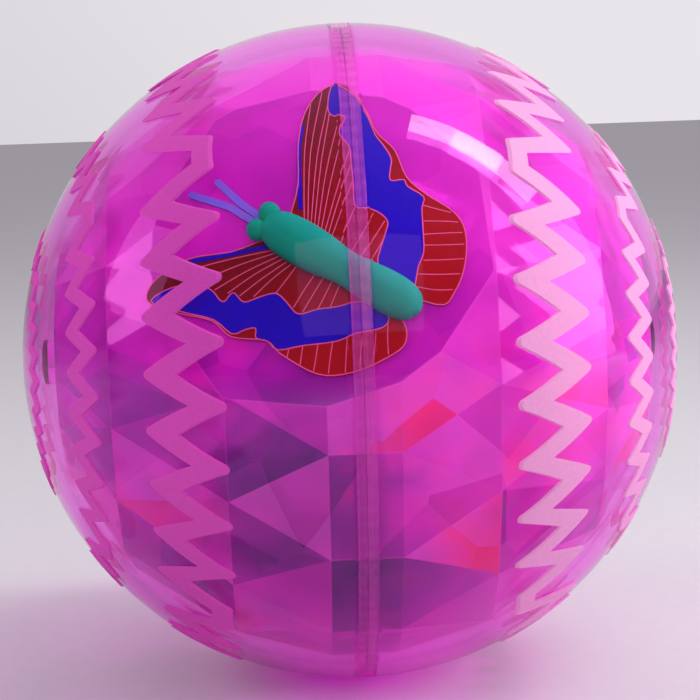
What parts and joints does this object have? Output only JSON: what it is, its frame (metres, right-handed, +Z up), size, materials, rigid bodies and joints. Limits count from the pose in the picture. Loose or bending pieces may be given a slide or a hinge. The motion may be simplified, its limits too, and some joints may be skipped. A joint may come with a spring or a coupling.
{
  "type": "bouncy ball",
  "caption": "Clear bouncy ball with frosted zigzag bands beside its welded seam, a tinted faceted core, a film butterfly under the shell and a bounce-operated flasher inside.",
  "frame": {"origin": "centre of the ball", "axes": "X runs across the seam from the left half to the right half, -Y faces the viewer of the butterfly, +Z is up and -Z meets the floor"},
  "size_m": [0.1, 0.1, 0.1],
  "materials": {
    "clear_shell": "clear, glossy",
    "weld": "cloudy weld bead",
    "frosted_print": "frosted",
    "tinted_core": "clear tint, cut facets",
    "butterfly_body": "matte",
    "wing_film": "printed film",
    "antenna_film": "thin film",
    "flasher_case": "clear",
    "circuit_board": "board lacquer",
    "chip_blob": "potting",
    "cell_clip": "plated strip",
    "button_cell": "bright can",
    "lamp_red": "tinted clear",
    "lamp_green": "tinted clear",
    "lamp_blue": "tinted clear",
    "switch_post": "bright pin",
    "switch_coil": "spring wire"
  },
  "bodies": {
    "ball": {"shell_left": "clear_shell", "shell_right": "clear_shell", "seam_weld": "weld", "zigzag_left_wide": "frosted_print", "zigzag_left_middle": "frosted_print", "zigzag_left_narrow": "frosted_print", "zigzag_right_wide": "frosted_print", "zigzag_right_middle": "frosted_print", "zigzag_right_narrow": "frosted_print", "core_left": "tinted_core", "core_right": "tinted_core", "butterfly_body": "butterfly_body", "wing_film_upper": "wing_film", "wing_film_lower": "wing_film", "antenna_upper": "antenna_film", "antenna_lower": "antenna_film", "flasher_cup": "flasher_case", "flasher_lid": "flasher_case", "circuit_board": "circuit_board", "chip_blob": "chip_blob", "cell_clip": "cell_clip", "button_cell_low": "button_cell", "button_cell_mid": "button_cell", "button_cell_top": "button_cell", "lamp_red": "lamp_red", "lamp_green": "lamp_green", "lamp_blue": "lamp_blue", "switch_post": "switch_post"},
    "switch": {"switch_coil": "switch_coil"}
  },
  "joints": [
    {"name": "bounce_switch", "type": "hinge", "parent": "ball", "child": "switch", "pos_m": [-0.00561, 0.00488, -0.02559], "axis": [1, 0, 0], "range_deg": [-6.5, 6.5], "stiffness_Nm_per_rad": 0.00002}
  ]
}
